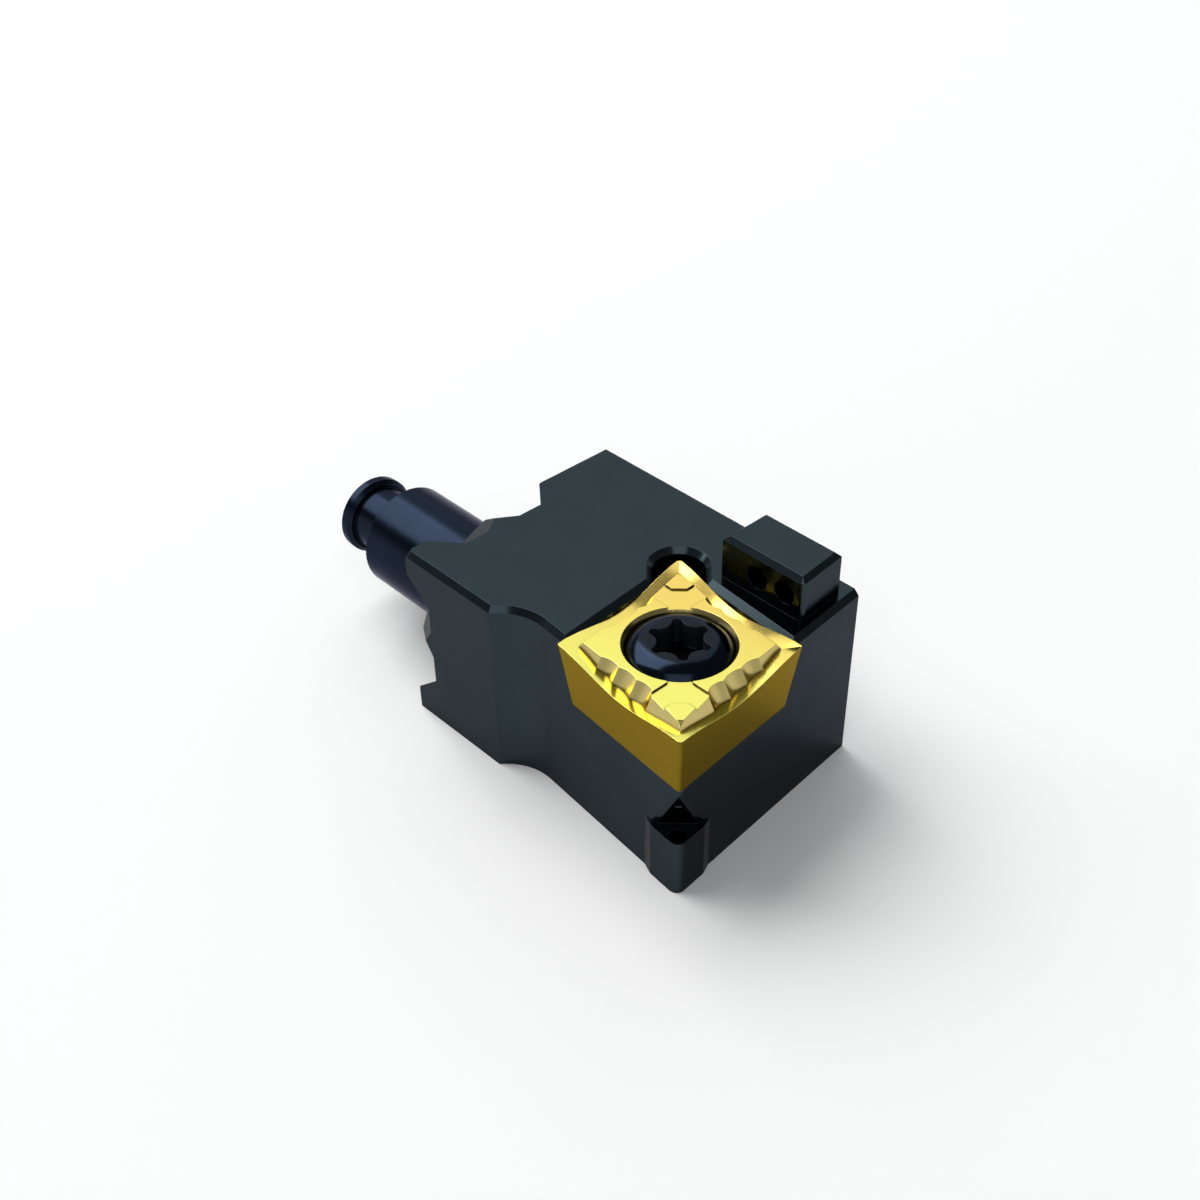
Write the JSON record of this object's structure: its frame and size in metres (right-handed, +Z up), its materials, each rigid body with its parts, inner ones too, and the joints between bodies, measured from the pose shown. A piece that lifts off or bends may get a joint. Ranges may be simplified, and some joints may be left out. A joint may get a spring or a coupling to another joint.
{
  "type": "turning tool holder",
  "caption": "Left-hand quick-change turning head with a screw-clamped rhombic insert, coolant nozzles and a pull stud.",
  "frame": {"origin": "centre of the coupling: on the pull stud's axis, in the plane of the four seating ears", "axes": "+Y back along the pull stud, +X to the right, +Z up from the shank's bottom face"},
  "size_m": [0.0154, 0.0328, 0.0137],
  "materials": {
    "blackened_steel": "dark blue-black oxide with a satin sheen",
    "stud_steel": "turned and blackened, fine rings",
    "coated_carbide": "gold coating on ground and pressed carbide",
    "screw_steel": "blued steel with a polished head"
  },
  "bodies": {
    "root": {"holder_body": "blackened_steel", "pull_stud": "stud_steel", "cutting_insert": "coated_carbide", "insert_screw": "screw_steel"}
  },
  "joints": []
}
